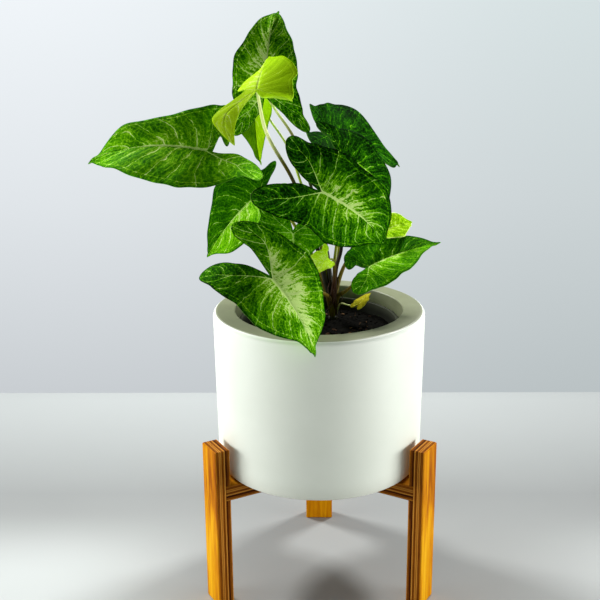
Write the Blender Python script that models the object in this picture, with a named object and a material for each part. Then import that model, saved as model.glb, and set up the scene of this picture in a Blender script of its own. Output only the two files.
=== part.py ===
"""Arrowhead plant in a two-part pot on a three-legged wooden stand.

Metres, +Z up, +X to the right as seen from the front (-Y). The stand's feet rest on z = 0. The
pieces are made about the pot's axis and then moved together, so that the origin lies under the
middle of the whole plant.
"""
import math
from collections import namedtuple

import bmesh
import bpy
import numpy as np
from mathutils import Matrix, Vector

MM = 0.001
GAP = 0.3 * MM
SMOOTH_ANGLE = math.radians(35.0)

# Where the pot's axis stands, seen from the origin under the middle of the whole plant
POT_AXIS = Vector((40.5, 2.1, 0.0)) * MM

# Outer pot
POT_RADIUS = 80.0 * MM
POT_SIDE_RADIUS = 78.5 * MM
POT_SIDE_START = 9.0 * MM
POT_FOOT_RADIUS = 74.0 * MM
POT_FOOT_ROUND = 3.5 * MM
POT_TOP = 224.0 * MM
POT_SHOULDER = 3.8 * MM
POT_WALL = 4.5 * MM
POT_FLOOR = 6.0 * MM
POT_INNER_TAPER = 2.5 * MM
LIP_INNER_RADIUS = 63.1 * MM
LIP_EDGE = 1.2 * MM
LIP_THICKNESS = 5.0 * MM
SKIRT_DEPTH = 24.0 * MM
SKIRT_THICKNESS = 4.0 * MM
POT_SEGMENTS = 72

# Nursery pot
GROW_RIM_RADIUS = 61.0 * MM
GROW_WALL_RADIUS = 59.5 * MM
GROW_BASE_RADIUS = 45.0 * MM
GROW_TOP = 215.0 * MM
GROW_WALL = 1.4 * MM
GROW_LIP = 5.0 * MM
GROW_SEGMENTS = 56

# Soil
SOIL_TOP = 207.0 * MM
SOIL_MOUND = 4.0 * MM
SOIL_PLAY = 0.45 * MM
SOIL_SEGMENTS = 48
SOIL_RINGS = 4

# Stand
LEG_HEIGHT = 130.0 * MM
LEG_WIDTH = 23.0 * MM
LEG_THICKNESS = 12.0 * MM
LEG_INNER_RADIUS = 83.0 * MM
LEG_BEVEL = 0.6 * MM
LEG_AZIMUTHS = {"leg_left": 210.0, "leg_right": 330.0, "leg_back": 90.0}
NOTCH_DEPTH = 4.0 * MM
NOTCH_LENGTH = 35.0 * MM
ARM_TOP = 101.0 * MM
ARM_THICKNESS = 12.0 * MM
ARM_OVERLAP = 3.0 * MM

# Crown, the short stump that the stalks rise from, and its hole in the soil
CROWN = Vector((11.0, 18.0, 0.0)) * MM
CROWN_BASE = 192.0 * MM
CROWN_TOP = 213.0 * MM
CROWN_RADIUS = 6.0 * MM
CROWN_NECK = 5.5 * MM
CROWN_SIDES = 12
HOLE_BOTTOM = CROWN_BASE - 2.0 * MM
HOLE_SIDES = 16

# Stalks
STALK_START = 206.0 * MM
STALK_SIDES = 8
STALK_SPANS = 15
STALK_GAP = 0.45 * MM

# Blades
BLADE = 0.8 * MM
LARGE_GRID = (24, 3)
SMALL_GRID = (16, 2)
SINUS_AT = -0.04
LOBE_MIDDLE = 0.5
WAIST_AT = 0.04
BELLY_AT = 0.30
FORE_AT = 0.64
POINT_AT = 0.90
POINT_SHARE = 0.22
RIB_SHARE = 0.78
VEIN_LEAN = 1.3
CURL_SPAN = 35.0
WAVE_SHARE = 0.014
WAVE_TURNS = 2.25
WAVE_FADE = 0.25

# One half of a blade, in mm and degrees. The lobe reaches back from the junction with the stalk;
# "out" is its tip's distance from the midrib, "inner" and "flank" are its two edges half way
# along it. Waist, belly and fore are half widths from the junction to the tip. "Fold" lifts the
# half beside the midrib, "curl" bends it further on, "sag" bends the lobe.
Half = namedtuple("Half", "lobe out inner flank waist belly fore fold curl sag")

# A blade: where it meets the stalk, where it heads, how it rolls about its midrib, its length,
# how far it droops and twists up to the tip.
Leaf = namedtuple("Leaf", "at azimuth elevation roll length droop twist left right")

LEAVES = {
    "leaf_top": Leaf(
        at=(-39, 18, 383), azimuth=87, elevation=74, roll=-11, length=79, droop=54, twist=7,
        left=Half(lobe=34, out=20, inner=4, flank=21, waist=24, belly=23, fore=14,
                  fold=25, curl=-13, sag=13),
        right=Half(lobe=30, out=32, inner=13, flank=29, waist=24, belly=23, fore=13,
                   fold=3, curl=-18, sag=6)),
    "leaf_left": Leaf(
        at=(-81, 2, 343), azimuth=180, elevation=13, roll=-37, length=101, droop=52, twist=-6,
        left=Half(lobe=56, out=40, inner=6, flank=27, waist=39, belly=36, fore=22,
                  fold=9, curl=-16, sag=62),
        right=Half(lobe=15, out=11, inner=13, flank=43, waist=39, belly=27, fore=19,
                   fold=19, curl=-15, sag=13)),
    "leaf_young": Leaf(
        at=(-42, -34, 390), azimuth=84, elevation=28, roll=-5, length=54, droop=18, twist=-30,
        left=Half(lobe=40, out=16, inner=13, flank=30, waist=8, belly=19, fore=11,
                  fold=-16, curl=-3, sag=-59),
        right=Half(lobe=29, out=24, inner=6, flank=24, waist=22, belly=27, fore=15,
                   fold=8, curl=-16, sag=58)),
    "leaf_hanging": Leaf(
        at=(-47, 42, 377), azimuth=-111, elevation=-77, roll=15, length=52, droop=28, twist=4,
        left=Half(lobe=24, out=14, inner=5, flank=20, waist=19, belly=19, fore=9,
                  fold=17, curl=-12, sag=12),
        right=Half(lobe=24, out=14, inner=5, flank=20, waist=20, belly=19, fore=9,
                   fold=11, curl=-12, sag=12)),
    "leaf_back": Leaf(
        at=(9, 64, 346), azimuth=29, elevation=-14, roll=38, length=83, droop=27, twist=1,
        left=Half(lobe=20, out=18, inner=5, flank=24, waist=29, belly=33, fore=15,
                  fold=18, curl=-11, sag=19),
        right=Half(lobe=39, out=28, inner=5, flank=30, waist=31, belly=28, fore=21,
                   fold=18, curl=-11, sag=21)),
    "leaf_upper": Leaf(
        at=(18, 14, 337), azimuth=18, elevation=-26, roll=43, length=70, droop=51, twist=2,
        left=Half(lobe=27, out=15, inner=7, flank=19, waist=24, belly=23, fore=18,
                  fold=16, curl=-9, sag=7),
        right=Half(lobe=30, out=23, inner=7, flank=25, waist=26, belly=25, fore=15,
                   fold=8, curl=-15, sag=3)),
    "leaf_centre": Leaf(
        at=(2, -32, 319), azimuth=3, elevation=-26, roll=51, length=73, droop=54, twist=25,
        left=Half(lobe=38, out=22, inner=5, flank=30, waist=32, belly=29, fore=22,
                  fold=19, curl=-9, sag=13),
        right=Half(lobe=45, out=26, inner=4, flank=29, waist=27, belly=30, fore=23,
                   fold=-18, curl=-15, sag=9)),
    "leaf_middle": Leaf(
        at=(-45, 30, 306), azimuth=-153, elevation=-33, roll=-36, length=66, droop=45, twist=-6,
        left=Half(lobe=20, out=14, inner=6, flank=21, waist=23, belly=24, fore=22,
                  fold=18, curl=-8, sag=12),
        right=Half(lobe=28, out=14, inner=4, flank=14, waist=25, belly=29, fore=14,
                   fold=9, curl=-12, sag=-6)),
    "leaf_front": Leaf(
        at=(-31, -89, 272), azimuth=-28, elevation=-44, roll=35, length=67, droop=59, twist=-28,
        left=Half(lobe=46, out=4, inner=2, flank=22, waist=29, belly=27, fore=18,
                  fold=13, curl=-6, sag=-8),
        right=Half(lobe=44, out=29, inner=10, flank=34, waist=32, belly=31, fore=13,
                   fold=13, curl=-22, sag=-42)),
    "leaf_right": Leaf(
        at=(37, -8, 258), azimuth=27, elevation=18, roll=8, length=65, droop=17, twist=-1,
        left=Half(lobe=15, out=8, inner=5, flank=20, waist=25, belly=27, fore=15,
                  fold=21, curl=-8, sag=8),
        right=Half(lobe=26, out=20, inner=4, flank=27, waist=27, belly=24, fore=11,
                   fold=3, curl=-19, sag=4)),
    "leaf_folded": Leaf(
        at=(52, 22, 279), azimuth=44, elevation=12, roll=18, length=32, droop=24, twist=7,
        left=Half(lobe=14, out=9, inner=3, flank=12, waist=13, belly=12, fore=9,
                  fold=25, curl=-10, sag=12),
        right=Half(lobe=14, out=9, inner=3, flank=11, waist=16, belly=12, fore=7,
                   fold=9, curl=-15, sag=14)),
    "leaf_behind": Leaf(
        at=(-19, 2, 281), azimuth=-85, elevation=-63, roll=-3, length=64, droop=28, twist=0,
        left=Half(lobe=20, out=21, inner=6, flank=24, waist=29, belly=11, fore=14,
                  fold=13, curl=-13, sag=14),
        right=Half(lobe=24, out=20, inner=4, flank=25, waist=25, belly=20, fore=13,
                   fold=14, curl=-12, sag=13)),
    "leaf_lime": Leaf(
        at=(6, -16, 266), azimuth=181, elevation=-28, roll=-34, length=33, droop=28, twist=2,
        left=Half(lobe=5, out=10, inner=5, flank=13, waist=12, belly=11, fore=7,
                  fold=18, curl=-11, sag=13),
        right=Half(lobe=5, out=9, inner=5, flank=13, waist=10, belly=10, fore=7,
                   fold=10, curl=-13, sag=14)),
    "leaf_dry": Leaf(
        at=(31, 10, 224), azimuth=52, elevation=30, roll=-21, length=15, droop=20, twist=-2,
        left=Half(lobe=6, out=4, inner=1, flank=6, waist=6, belly=5, fore=3,
                  fold=16, curl=-12, sag=13),
        right=Half(lobe=7, out=4, inner=1, flank=6, waist=6, belly=6, fore=3,
                   fold=-11, curl=-13, sag=13)),
}
SMALL_LEAVES = ("leaf_dry", "leaf_lime", "leaf_folded")
YOUNG_LEAVES = ("leaf_young", "leaf_hanging", "leaf_folded", "leaf_lime")

# Each stalk's radius at the crown and at the blade, and the points it passes on the way, in mm
Stalk = namedtuple("Stalk", "foot end way")
STALKS = {
    "leaf_top": Stalk(
        foot=1.9, end=1.2,
        way=[(10, 17, 225), (6, 17, 265), (-5, 18, 311), (-17, 20, 347), (-31, 21, 369)]),
    "leaf_hanging": Stalk(
        foot=1.6, end=1.0,
        way=[(9, 19, 224), (0, 22, 275), (-14, 29, 316), (-23, 36, 340), (-37, 45, 360)]),
    "leaf_young": Stalk(
        foot=2.4, end=1.5,
        way=[(9, 16, 227), (5, 16, 240), (-5, 19, 281), (-19, 0, 322), (-36, -22, 358)]),
    "leaf_centre": Stalk(
        foot=2.0, end=1.3,
        way=[(11, 16, 225), (13, 10, 251), (17, 5, 270), (14, -6, 294), (5, -24, 312)]),
    "leaf_upper": Stalk(
        foot=1.7, end=1.1,
        way=[(12, 18, 224), (12, 19, 250), (13, 19, 264), (18, 16, 304), (20, 15, 328)]),
    "leaf_back": Stalk(
        foot=1.7, end=1.1,
        way=[(11, 20, 224), (13, 24, 241), (16, 34, 269), (15, 54, 312), (11, 63, 336)]),
    "leaf_right": Stalk(
        foot=1.8, end=1.2,
        way=[(14, 17, 226), (20, 12, 233), (29, 5, 243), (35, -2, 252)]),
    "leaf_folded": Stalk(
        foot=2.6, end=1.0,
        way=[(12, 19, 224), (14, 19, 235), (20, 20, 252), (31, 25, 267), (44, 26, 276)]),
    "leaf_lime": Stalk(
        foot=1.6, end=0.9,
        way=[(10, 15, 225), (12, 9, 246), (12, 2, 257), (10, -9, 264)]),
    "leaf_front": Stalk(
        foot=1.9, end=1.3,
        way=[(8, 14, 226), (4, -4, 236), (-2, -32, 246), (-22, -68, 262)]),
    "leaf_middle": Stalk(
        foot=1.8, end=1.2,
        way=[(8, 18, 226), (-5, 22, 252), (-26, 37, 279), (-39, 38, 296)]),
    "leaf_behind": Stalk(
        foot=1.7, end=1.2,
        way=[(9, 16, 225), (4, 18, 240), (-6, 17, 262), (-14, 9, 276)]),
    "leaf_left": Stalk(
        foot=2.0, end=1.3,
        way=[(8, 18, 228), (-3, 26, 254), (-26, 52, 287), (-54, 52, 322), (-75, 20, 337)]),
    "leaf_dry": Stalk(
        foot=0.9, end=0.5,
        way=[(16, 19, 220), (22, 16, 221), (28, 12, 221)]),
}

COLORS = {
    "pot": (0.86, 0.88, 0.84, 1.0),
    "plastic": (0.05, 0.05, 0.055, 1.0),
    "soil": (0.035, 0.025, 0.02, 1.0),
    "wood": (0.62, 0.30, 0.09, 1.0),
    "stalk": (0.33, 0.36, 0.10, 1.0),
    "leaf": (0.06, 0.22, 0.02, 1.0),
    "young": (0.42, 0.65, 0.03, 1.0),
    "dry": (0.62, 0.50, 0.12, 1.0),
}
ROUGHNESS = {"pot": 0.35, "plastic": 0.5, "soil": 0.95, "wood": 0.6, "stalk": 0.55, "leaf": 0.45,
             "young": 0.5, "dry": 0.7}


def clear_scene():
    """Take every object out of the starting scene."""
    for obj in list(bpy.data.objects):
        bpy.data.objects.remove(obj, do_unlink=True)


def material(name, look):
    """A node's own plain material."""
    mat = bpy.data.materials.new(name + "_" + look)
    mat.use_nodes = True
    shader = mat.node_tree.nodes["Principled BSDF"]
    shader.inputs["Base Color"].default_value = COLORS[look]
    shader.inputs["Roughness"].default_value = ROUGHNESS[look]
    mat.diffuse_color = COLORS[look]
    return mat


def mesh_object(name, points, faces):
    """Link a mesh object made from points and faces."""
    mesh = bpy.data.meshes.new(name)
    mesh.from_pydata([tuple(float(c) for c in p) for p in points], [], faces)
    mesh.update()
    obj = bpy.data.objects.new(name, mesh)
    bpy.context.scene.collection.objects.link(obj)
    return obj


def finish(obj, look, smooth=True):
    """Give a node its material and its shading."""
    obj.data.materials.clear()
    obj.data.materials.append(material(obj.name, look))
    if smooth:
        obj.data.shade_smooth()
        obj.data.set_sharp_from_angle(angle=SMOOTH_ANGLE)


def apply_modifiers(obj):
    """Replace an object's mesh by its evaluated form."""
    graph = bpy.context.evaluated_depsgraph_get()
    mesh = bpy.data.meshes.new_from_object(obj.evaluated_get(graph))
    obj.modifiers.clear()
    obj.data = mesh


def boolean(obj, others, operation):
    """Cut, or join, a list of objects and remove them."""
    group = bpy.data.collections.new(obj.name + "_others")
    bpy.context.scene.collection.children.link(group)
    for other in others:
        bpy.context.scene.collection.objects.unlink(other)
        group.objects.link(other)
    modifier = obj.modifiers.new("boolean", "BOOLEAN")
    modifier.operation = operation
    modifier.operand_type = "COLLECTION"
    modifier.collection = group
    modifier.solver = "EXACT"
    apply_modifiers(obj)
    for other in others:
        bpy.data.objects.remove(other, do_unlink=True)
    bpy.data.collections.remove(group)


def turned(name, profile, segments):
    """Turn a closed profile of (radius, z) points about the Z axis; radius 0 makes a pole."""
    points = []
    rings = []
    for radius, z in profile:
        if radius == 0.0:
            rings.append([len(points)] * segments)
            points.append((0.0, 0.0, z))
            continue
        rings.append(list(range(len(points), len(points) + segments)))
        for k in range(segments):
            angle = 2.0 * math.pi * k / segments
            points.append((radius * math.cos(angle), radius * math.sin(angle), z))
    faces = []
    for low, high in zip(rings, rings[1:] + rings[:1]):
        for k in range(segments):
            after = (k + 1) % segments
            corners = [low[k], low[after], high[after], high[k]]
            unique = list(dict.fromkeys(corners))
            if len(unique) > 2:
                faces.append(unique)
    return mesh_object(name, points, faces)


def rounded(center_radius, center_z, radius, start, end, steps):
    """Points of a profile's rounding, from one angle to the other, in degrees."""
    angles = [math.radians(start + (end - start) * k / steps) for k in range(steps + 1)]
    return [(center_radius + radius * math.cos(a), center_z + radius * math.sin(a)) for a in angles]


def outer_pot():
    """Pot with a broad flat lip that turns down inside as a skirt."""
    bottom = ARM_TOP + GAP
    inside = POT_SIDE_RADIUS - POT_WALL
    skirt_outer = LIP_INNER_RADIUS + SKIRT_THICKNESS
    profile = [(0.0, bottom)]
    profile += rounded(POT_FOOT_RADIUS, bottom + POT_FOOT_ROUND, POT_FOOT_ROUND, -90, -20, 3)
    profile += [(POT_SIDE_RADIUS, bottom + POT_SIDE_START)]
    profile += rounded(POT_RADIUS - POT_SHOULDER, POT_TOP - POT_SHOULDER, POT_SHOULDER, 0, 90, 4)
    profile += rounded(LIP_INNER_RADIUS + LIP_EDGE, POT_TOP - LIP_EDGE, LIP_EDGE, 90, 180, 2)
    profile += [
        (LIP_INNER_RADIUS, POT_TOP - SKIRT_DEPTH),
        (skirt_outer, POT_TOP - SKIRT_DEPTH),
        (skirt_outer, POT_TOP - LIP_THICKNESS),
        (inside, POT_TOP - LIP_THICKNESS),
        (inside - POT_INNER_TAPER, bottom + POT_FLOOR),
        (0.0, bottom + POT_FLOOR),
    ]
    obj = turned("outer_pot", profile, POT_SEGMENTS)
    finish(obj, "pot")


def grow_base():
    """Height of the nursery pot's underside."""
    return ARM_TOP + GAP + POT_FLOOR + GAP


def grow_radius(z):
    """Outer radius of the nursery pot's wall at a height."""
    share = (z - grow_base()) / (GROW_TOP - grow_base())
    return GROW_BASE_RADIUS + (GROW_WALL_RADIUS - GROW_BASE_RADIUS) * share


def grow_pot():
    """Tapered thin-walled nursery pot with a small outward lip."""
    base = grow_base()
    lip_foot = GROW_TOP - GROW_LIP
    profile = [
        (0.0, base),
        (GROW_BASE_RADIUS, base),
        (grow_radius(lip_foot), lip_foot),
        (GROW_RIM_RADIUS, lip_foot),
        (GROW_RIM_RADIUS, GROW_TOP),
        (GROW_WALL_RADIUS - GROW_WALL, GROW_TOP),
        (GROW_BASE_RADIUS - GROW_WALL, base + GROW_WALL),
        (0.0, base + GROW_WALL),
    ]
    obj = turned("grow_pot", profile, GROW_SEGMENTS)
    finish(obj, "plastic")


def soil():
    """Filling of the nursery pot: a low mound with one plain hole for the crown."""
    base = grow_base() + GROW_WALL + GAP
    shrink = GROW_WALL + SOIL_PLAY
    side = grow_radius(SOIL_TOP) - shrink
    profile = [(0.0, base), (grow_radius(base) - shrink, base)]
    for k in range(SOIL_RINGS + 1):
        share = 1.0 - k / SOIL_RINGS
        profile.append((side * share, SOIL_TOP + SOIL_MOUND * (1.0 - share ** 2)))
    obj = turned("soil", profile, SOIL_SEGMENTS)
    hole = frustum("hole", HOLE_BOTTOM, POT_TOP, CROWN_RADIUS + GAP, CROWN_RADIUS + GAP, HOLE_SIDES)
    boolean(obj, [hole], "DIFFERENCE")
    finish(obj, "soil")


def frustum(name, bottom, top, bottom_radius, top_radius, sides):
    """Upright cone frustum about the crown's axis."""
    points = []
    for z, radius in ((bottom, bottom_radius), (top, top_radius)):
        for k in range(sides):
            angle = 2.0 * math.pi * k / sides
            points.append((CROWN.x + radius * math.cos(angle), CROWN.y + radius * math.sin(angle), z))
    faces = [[k, (k + 1) % sides, sides + (k + 1) % sides, sides + k] for k in range(sides)]
    faces += [list(range(sides))[::-1], list(range(sides, 2 * sides))]
    return mesh_object(name, points, faces)


def box(name, size, center, azimuth):
    """Box turned about the Z axis; its local X points away from the axis."""
    mesh = bpy.data.meshes.new(name)
    bm = bmesh.new()
    bmesh.ops.create_cube(bm, size=1.0)
    turn = Matrix.Rotation(math.radians(azimuth), 4, "Z")
    bm.transform(turn @ Matrix.Translation(center) @ Matrix.Diagonal((*size, 1.0)))
    bm.to_mesh(mesh)
    bm.free()
    obj = bpy.data.objects.new(name, mesh)
    bpy.context.scene.collection.objects.link(obj)
    return obj


def leg(name, azimuth):
    """Plywood leg with a notch for its arm."""
    middle = Vector((LEG_INNER_RADIUS + LEG_THICKNESS / 2.0, 0.0, LEG_HEIGHT / 2.0))
    obj = box(name, (LEG_THICKNESS, LEG_WIDTH, LEG_HEIGHT), middle, azimuth)
    bevel = obj.modifiers.new("bevel", "BEVEL")
    bevel.width = LEG_BEVEL
    bevel.segments = 1
    apply_modifiers(obj)
    notch_size = (2.0 * NOTCH_DEPTH, NOTCH_LENGTH, ARM_THICKNESS + 2.0 * GAP)
    notch_center = Vector((LEG_INNER_RADIUS, 0.0, ARM_TOP - ARM_THICKNESS / 2.0))
    boolean(obj, [box("notch", notch_size, notch_center, azimuth)], "DIFFERENCE")
    finish(obj, "wood", smooth=False)


def arms():
    """Three arms that meet under the pot."""
    end = LEG_INNER_RADIUS + NOTCH_DEPTH - GAP
    size = (end + ARM_OVERLAP, LEG_WIDTH, ARM_THICKNESS)
    center = Vector(((end - ARM_OVERLAP) / 2.0, 0.0, ARM_TOP - ARM_THICKNESS / 2.0))
    pieces = [box("stand_arms", size, center, azimuth) for azimuth in LEG_AZIMUTHS.values()]
    boolean(pieces[0], pieces[1:], "UNION")
    finish(pieces[0], "wood", smooth=False)


def arc(share, start, bend):
    """Positions along and across an arc of unit length that begins at an angle."""
    bend = np.where(np.abs(bend) < 1e-5, 1e-5, bend)
    along = (np.sin(start + bend * share) - np.sin(start)) / bend
    across = (np.cos(start) - np.cos(start + bend * share)) / bend
    return along, across


def smooth_curve(points, u):
    """Smooth curve through points, u from 0 to the number of spans."""
    points = np.asarray(points, float)
    spans = len(points) - 1
    padded = np.vstack([2 * points[0] - points[1], points, 2 * points[-1] - points[-2]])
    i = np.clip(np.floor(u).astype(int), 0, spans - 1)
    t = (u - i)[:, None]
    a, b, c, d = padded[i], padded[i + 1], padded[i + 2], padded[i + 3]
    cubic = (3 * b - a - 3 * c + d) * t ** 3
    return 0.5 * (2 * b + (c - a) * t + (2 * a - 5 * b + 4 * c - d) * t ** 2 + cubic)


def margin(half, length, s):
    """Flat outline of a half blade: s is -1 at the sinus, 0 at the waist and 1 at the tip."""
    landmarks = [
        (SINUS_AT * length, 0.0),
        (-LOBE_MIDDLE * half.lobe, half.inner),
        (-half.lobe, half.out),
        (-LOBE_MIDDLE * half.lobe, half.flank),
        (WAIST_AT * length, half.waist),
        (BELLY_AT * length, half.belly),
        (FORE_AT * length, half.fore),
        (POINT_AT * length, POINT_SHARE * half.fore),
        (length, 0.0),
    ]
    return smooth_curve(landmarks, (s + 1.0) * (len(landmarks) - 1) / 2.0)


def ribs(half, length, s):
    """Flat line that the side veins leave: the lobe's rib for s below 0, the midrib above."""
    center = (-LOBE_MIDDLE * half.lobe, (half.inner + half.flank) / 2.0)
    reach = RIB_SHARE * (1.0 - np.abs(2.0 * np.clip(s, -1.0, 0.0) + 1.0))
    lobe_rib = smooth_curve([(0.0, 0.0), center, (-half.lobe, half.out)], 2.0 * reach)
    midrib = np.stack([length * np.clip(s, 0.0, 1.0) ** VEIN_LEAN, np.zeros_like(s)], 1)
    return np.where((s > 0.0)[:, None], midrib, lobe_rib)


def leaf_frame(leaf):
    """Heading, left side and upper normal where the blade meets its stalk."""
    azimuth, elevation, roll = np.radians([leaf.azimuth, leaf.elevation, leaf.roll])
    level = np.array([math.cos(azimuth), math.sin(azimuth), 0.0])
    vertical = np.array([0.0, 0.0, 1.0])
    heading = level * math.cos(elevation) + vertical * math.sin(elevation)
    upward = vertical * math.cos(elevation) - level * math.sin(elevation)
    left = np.cross(upward, heading)
    side = left * math.cos(roll) + upward * math.sin(roll)
    normal = upward * math.cos(roll) - left * math.sin(roll)
    return heading, side, normal


def half_blade(leaf, sign, s, t):
    """Points of a half blade's middle surface in mm; sign is 1 for the left half."""
    half = leaf.left if sign > 0 else leaf.right
    root = ribs(half, leaf.length, s)
    flat = root + (margin(half, leaf.length, s) - root) * t[:, None]
    x, y = flat[:, 0], flat[:, 1]
    reach = np.where(x >= 0, leaf.length, half.lobe)
    bend = np.where(x >= 0, -math.radians(leaf.droop), math.radians(half.sag))
    along, rise = arc(x / reach, 0.0, bend)
    slope = bend * x / reach
    outward, lift = arc(y / CURL_SPAN, math.radians(half.fold), math.radians(half.curl))
    fade = np.clip((1.0 - np.abs(s)) / WAVE_FADE, 0.0, 1.0)
    phase = leaf.at[0]
    wave = WAVE_SHARE * leaf.length * fade * t ** 2 * np.sin(2.0 * math.pi * WAVE_TURNS * s + phase)
    lift = lift * CURL_SPAN + wave
    outward = sign * outward * CURL_SPAN
    twist = math.radians(leaf.twist) * x / leaf.length
    across = outward * np.cos(twist) - lift * np.sin(twist)
    up = outward * np.sin(twist) + lift * np.cos(twist)
    heading, side, normal = leaf_frame(leaf)
    forward = along * reach - up * np.sin(slope)
    height = rise * reach + up * np.cos(slope)
    place = forward[:, None] * heading + height[:, None] * normal + across[:, None] * side
    return place + np.array(leaf.at, float)


def corner_key(sign, i, j, columns):
    """Name of a grid corner; both halves share their midrib, their sinus and their tip."""
    middle = columns // 2
    if i == columns:
        return "tip"
    if j == 0 and (i == 0 or i >= middle):
        return ("midrib", max(i, middle))
    if j == 0:
        return (sign, "rib", min(i, middle - i))
    if i == 0:
        return ("sinus", j)
    return (sign, i, j)


def blade_sheet(leaf, columns, rows):
    """Points and triangles of the middle surface of both halves."""
    s = np.repeat(np.linspace(-1.0, 1.0, columns + 1), rows + 1)
    t = np.tile(np.linspace(0.0, 1.0, rows + 1), columns + 1)
    index, points, triangles = {}, [], []
    for sign in (1, -1):
        grid = half_blade(leaf, sign, s, t)
        for i in range(columns + 1):
            for j in range(rows + 1):
                key = corner_key(sign, i, j, columns)
                if key not in index:
                    index[key] = len(points)
                    points.append(grid[i * (rows + 1) + j])
        for i in range(columns):
            for j in range(rows):
                corners = ((i, j), (i + 1, j), (i + 1, j + 1), (i, j + 1))
                a, b, c, d = (index[corner_key(sign, *corner, columns)] for corner in corners)
                for triangle in ((a, b, c), (a, c, d)):
                    if len(set(triangle)) == 3:
                        triangles.append(triangle[::sign])
    return np.array(points) * MM, triangles


def blade(name, leaf):
    """Closed blade of even thickness; both faces carry the same triangles."""
    columns, rows = SMALL_GRID if name in SMALL_LEAVES else LARGE_GRID
    points, triangles = blade_sheet(leaf, columns, rows)
    corners = points[np.array(triangles)]
    face_normals = np.cross(corners[:, 1] - corners[:, 0], corners[:, 2] - corners[:, 0])
    normals = np.zeros_like(points)
    for k in range(3):
        np.add.at(normals, np.array(triangles)[:, k], face_normals)
    normals *= BLADE / 2.0 / np.linalg.norm(normals, axis=1)[:, None]
    count = len(points)
    faces = [list(tri) for tri in triangles] + [[v + count for v in tri[::-1]] for tri in triangles]
    directed = {(tri[k], tri[(k + 1) % 3]): True for tri in triangles for k in range(3)}
    for a, b in directed:
        if (b, a) not in directed:
            faces += [[b, a, a + count], [b, a + count, b + count]]
    obj = mesh_object(name, np.vstack([points + normals, points - normals]), faces)
    look = "young" if name in YOUNG_LEAVES else "dry" if name == "leaf_dry" else "leaf"
    finish(obj, look)


def tube(name, path, radii, sides):
    """Closed tube along points."""
    path = [Vector(p) for p in path]
    points = []
    side = Vector((1.0, 0.0, 0.0))
    for k, point in enumerate(path):
        ahead = (path[min(k + 1, len(path) - 1)] - path[max(k - 1, 0)]).normalized()
        side = (side - ahead * side.dot(ahead)).normalized()
        up = ahead.cross(side)
        for m in range(sides):
            angle = 2.0 * math.pi * m / sides
            points.append(point + (side * math.cos(angle) + up * math.sin(angle)) * radii[k])
    faces = []
    for first in range(0, (len(path) - 1) * sides, sides):
        for m in range(sides):
            after = (m + 1) % sides
            faces.append([first + m, first + after, first + sides + after, first + sides + m])
    last = (len(path) - 1) * sides
    faces += [list(range(sides))[::-1], [last + m for m in range(sides)]]
    return mesh_object(name, points, faces)


def stalk(name, leaf, plan):
    """Stalk from the crown to just under its blade."""
    normal = Vector(leaf_frame(leaf)[2])
    at = Vector(leaf.at)
    arrive = (at - Vector(plan.way[-1])).normalized()
    tilt = math.sqrt(max(0.0, 1.0 - arrive.dot(normal) ** 2))
    end = at - normal * ((BLADE / 2.0 + STALK_GAP) / MM + plan.end * tilt)
    start = (CROWN.x / MM, CROWN.y / MM, STALK_START / MM)
    route = [start] + plan.way + [tuple(end)]
    path = smooth_curve(route, np.linspace(0.0, len(route) - 1, STALK_SPANS + 1)) * MM
    radii = [(plan.foot + (plan.end - plan.foot) * k / STALK_SPANS) * MM for k in range(len(path))]
    return tube(name + "_stalk", path, radii, STALK_SIDES)


def stems():
    """All stalks joined to one crown."""
    crown = frustum("stems", CROWN_BASE, CROWN_TOP, CROWN_RADIUS, CROWN_NECK, CROWN_SIDES)
    boolean(crown, [stalk(name, LEAVES[name], plan) for name, plan in STALKS.items()], "UNION")
    finish(crown, "stalk")


def main():
    """Build every piece."""
    clear_scene()
    outer_pot()
    grow_pot()
    soil()
    for name, azimuth in LEG_AZIMUTHS.items():
        leg(name, azimuth)
    arms()
    stems()
    for name, leaf in LEAVES.items():
        blade(name, leaf)
    for obj in bpy.data.objects:
        obj.data.transform(Matrix.Translation(POT_AXIS))


main()
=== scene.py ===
import math
from collections import namedtuple

import bmesh
import bpy
import numpy as np
from mathutils import Matrix, Vector, noise


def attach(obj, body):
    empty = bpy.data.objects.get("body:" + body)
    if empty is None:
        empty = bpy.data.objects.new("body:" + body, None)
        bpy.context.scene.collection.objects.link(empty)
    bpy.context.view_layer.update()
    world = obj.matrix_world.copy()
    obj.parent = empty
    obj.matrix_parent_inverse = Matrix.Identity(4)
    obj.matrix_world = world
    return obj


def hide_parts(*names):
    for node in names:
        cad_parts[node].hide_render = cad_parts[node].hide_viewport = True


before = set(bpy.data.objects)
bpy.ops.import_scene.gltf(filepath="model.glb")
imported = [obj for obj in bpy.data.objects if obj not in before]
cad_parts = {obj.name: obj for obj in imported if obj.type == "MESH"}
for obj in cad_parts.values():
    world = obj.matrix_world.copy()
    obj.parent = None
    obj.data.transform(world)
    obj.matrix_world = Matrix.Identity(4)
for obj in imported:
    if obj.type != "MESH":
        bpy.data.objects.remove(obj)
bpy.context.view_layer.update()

MM = 0.001
POT_AXIS = Vector((40.5, 2.1, 0.0)) * MM

# Camera: place, lens and sensor in millimetres, angles in radians, nearest sight in metres
CAMERA_AT = (-1.98, -743.14, 457.24)
CAMERA_YAW, CAMERA_PITCH, CAMERA_ROLL = -0.01653, 0.29675, -0.00788
CAMERA_LENS, CAMERA_SENSOR, CAMERA_NEAR = 61.685, 36.0, 0.01

# Stage, in metres: where the floor meets the lit sheet behind, where the floor around begins to
# glow and glows fully, and how far the camera stands back; then the stage's reach and squares
SHEET_EDGE, GLOW_FROM, GLOW_FULL, CAMERA_BACK = 0.380, 0.50, 1.10, 0.743
STAGE_REACH, STAGE_SQUARES = 42.0, 60

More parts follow.
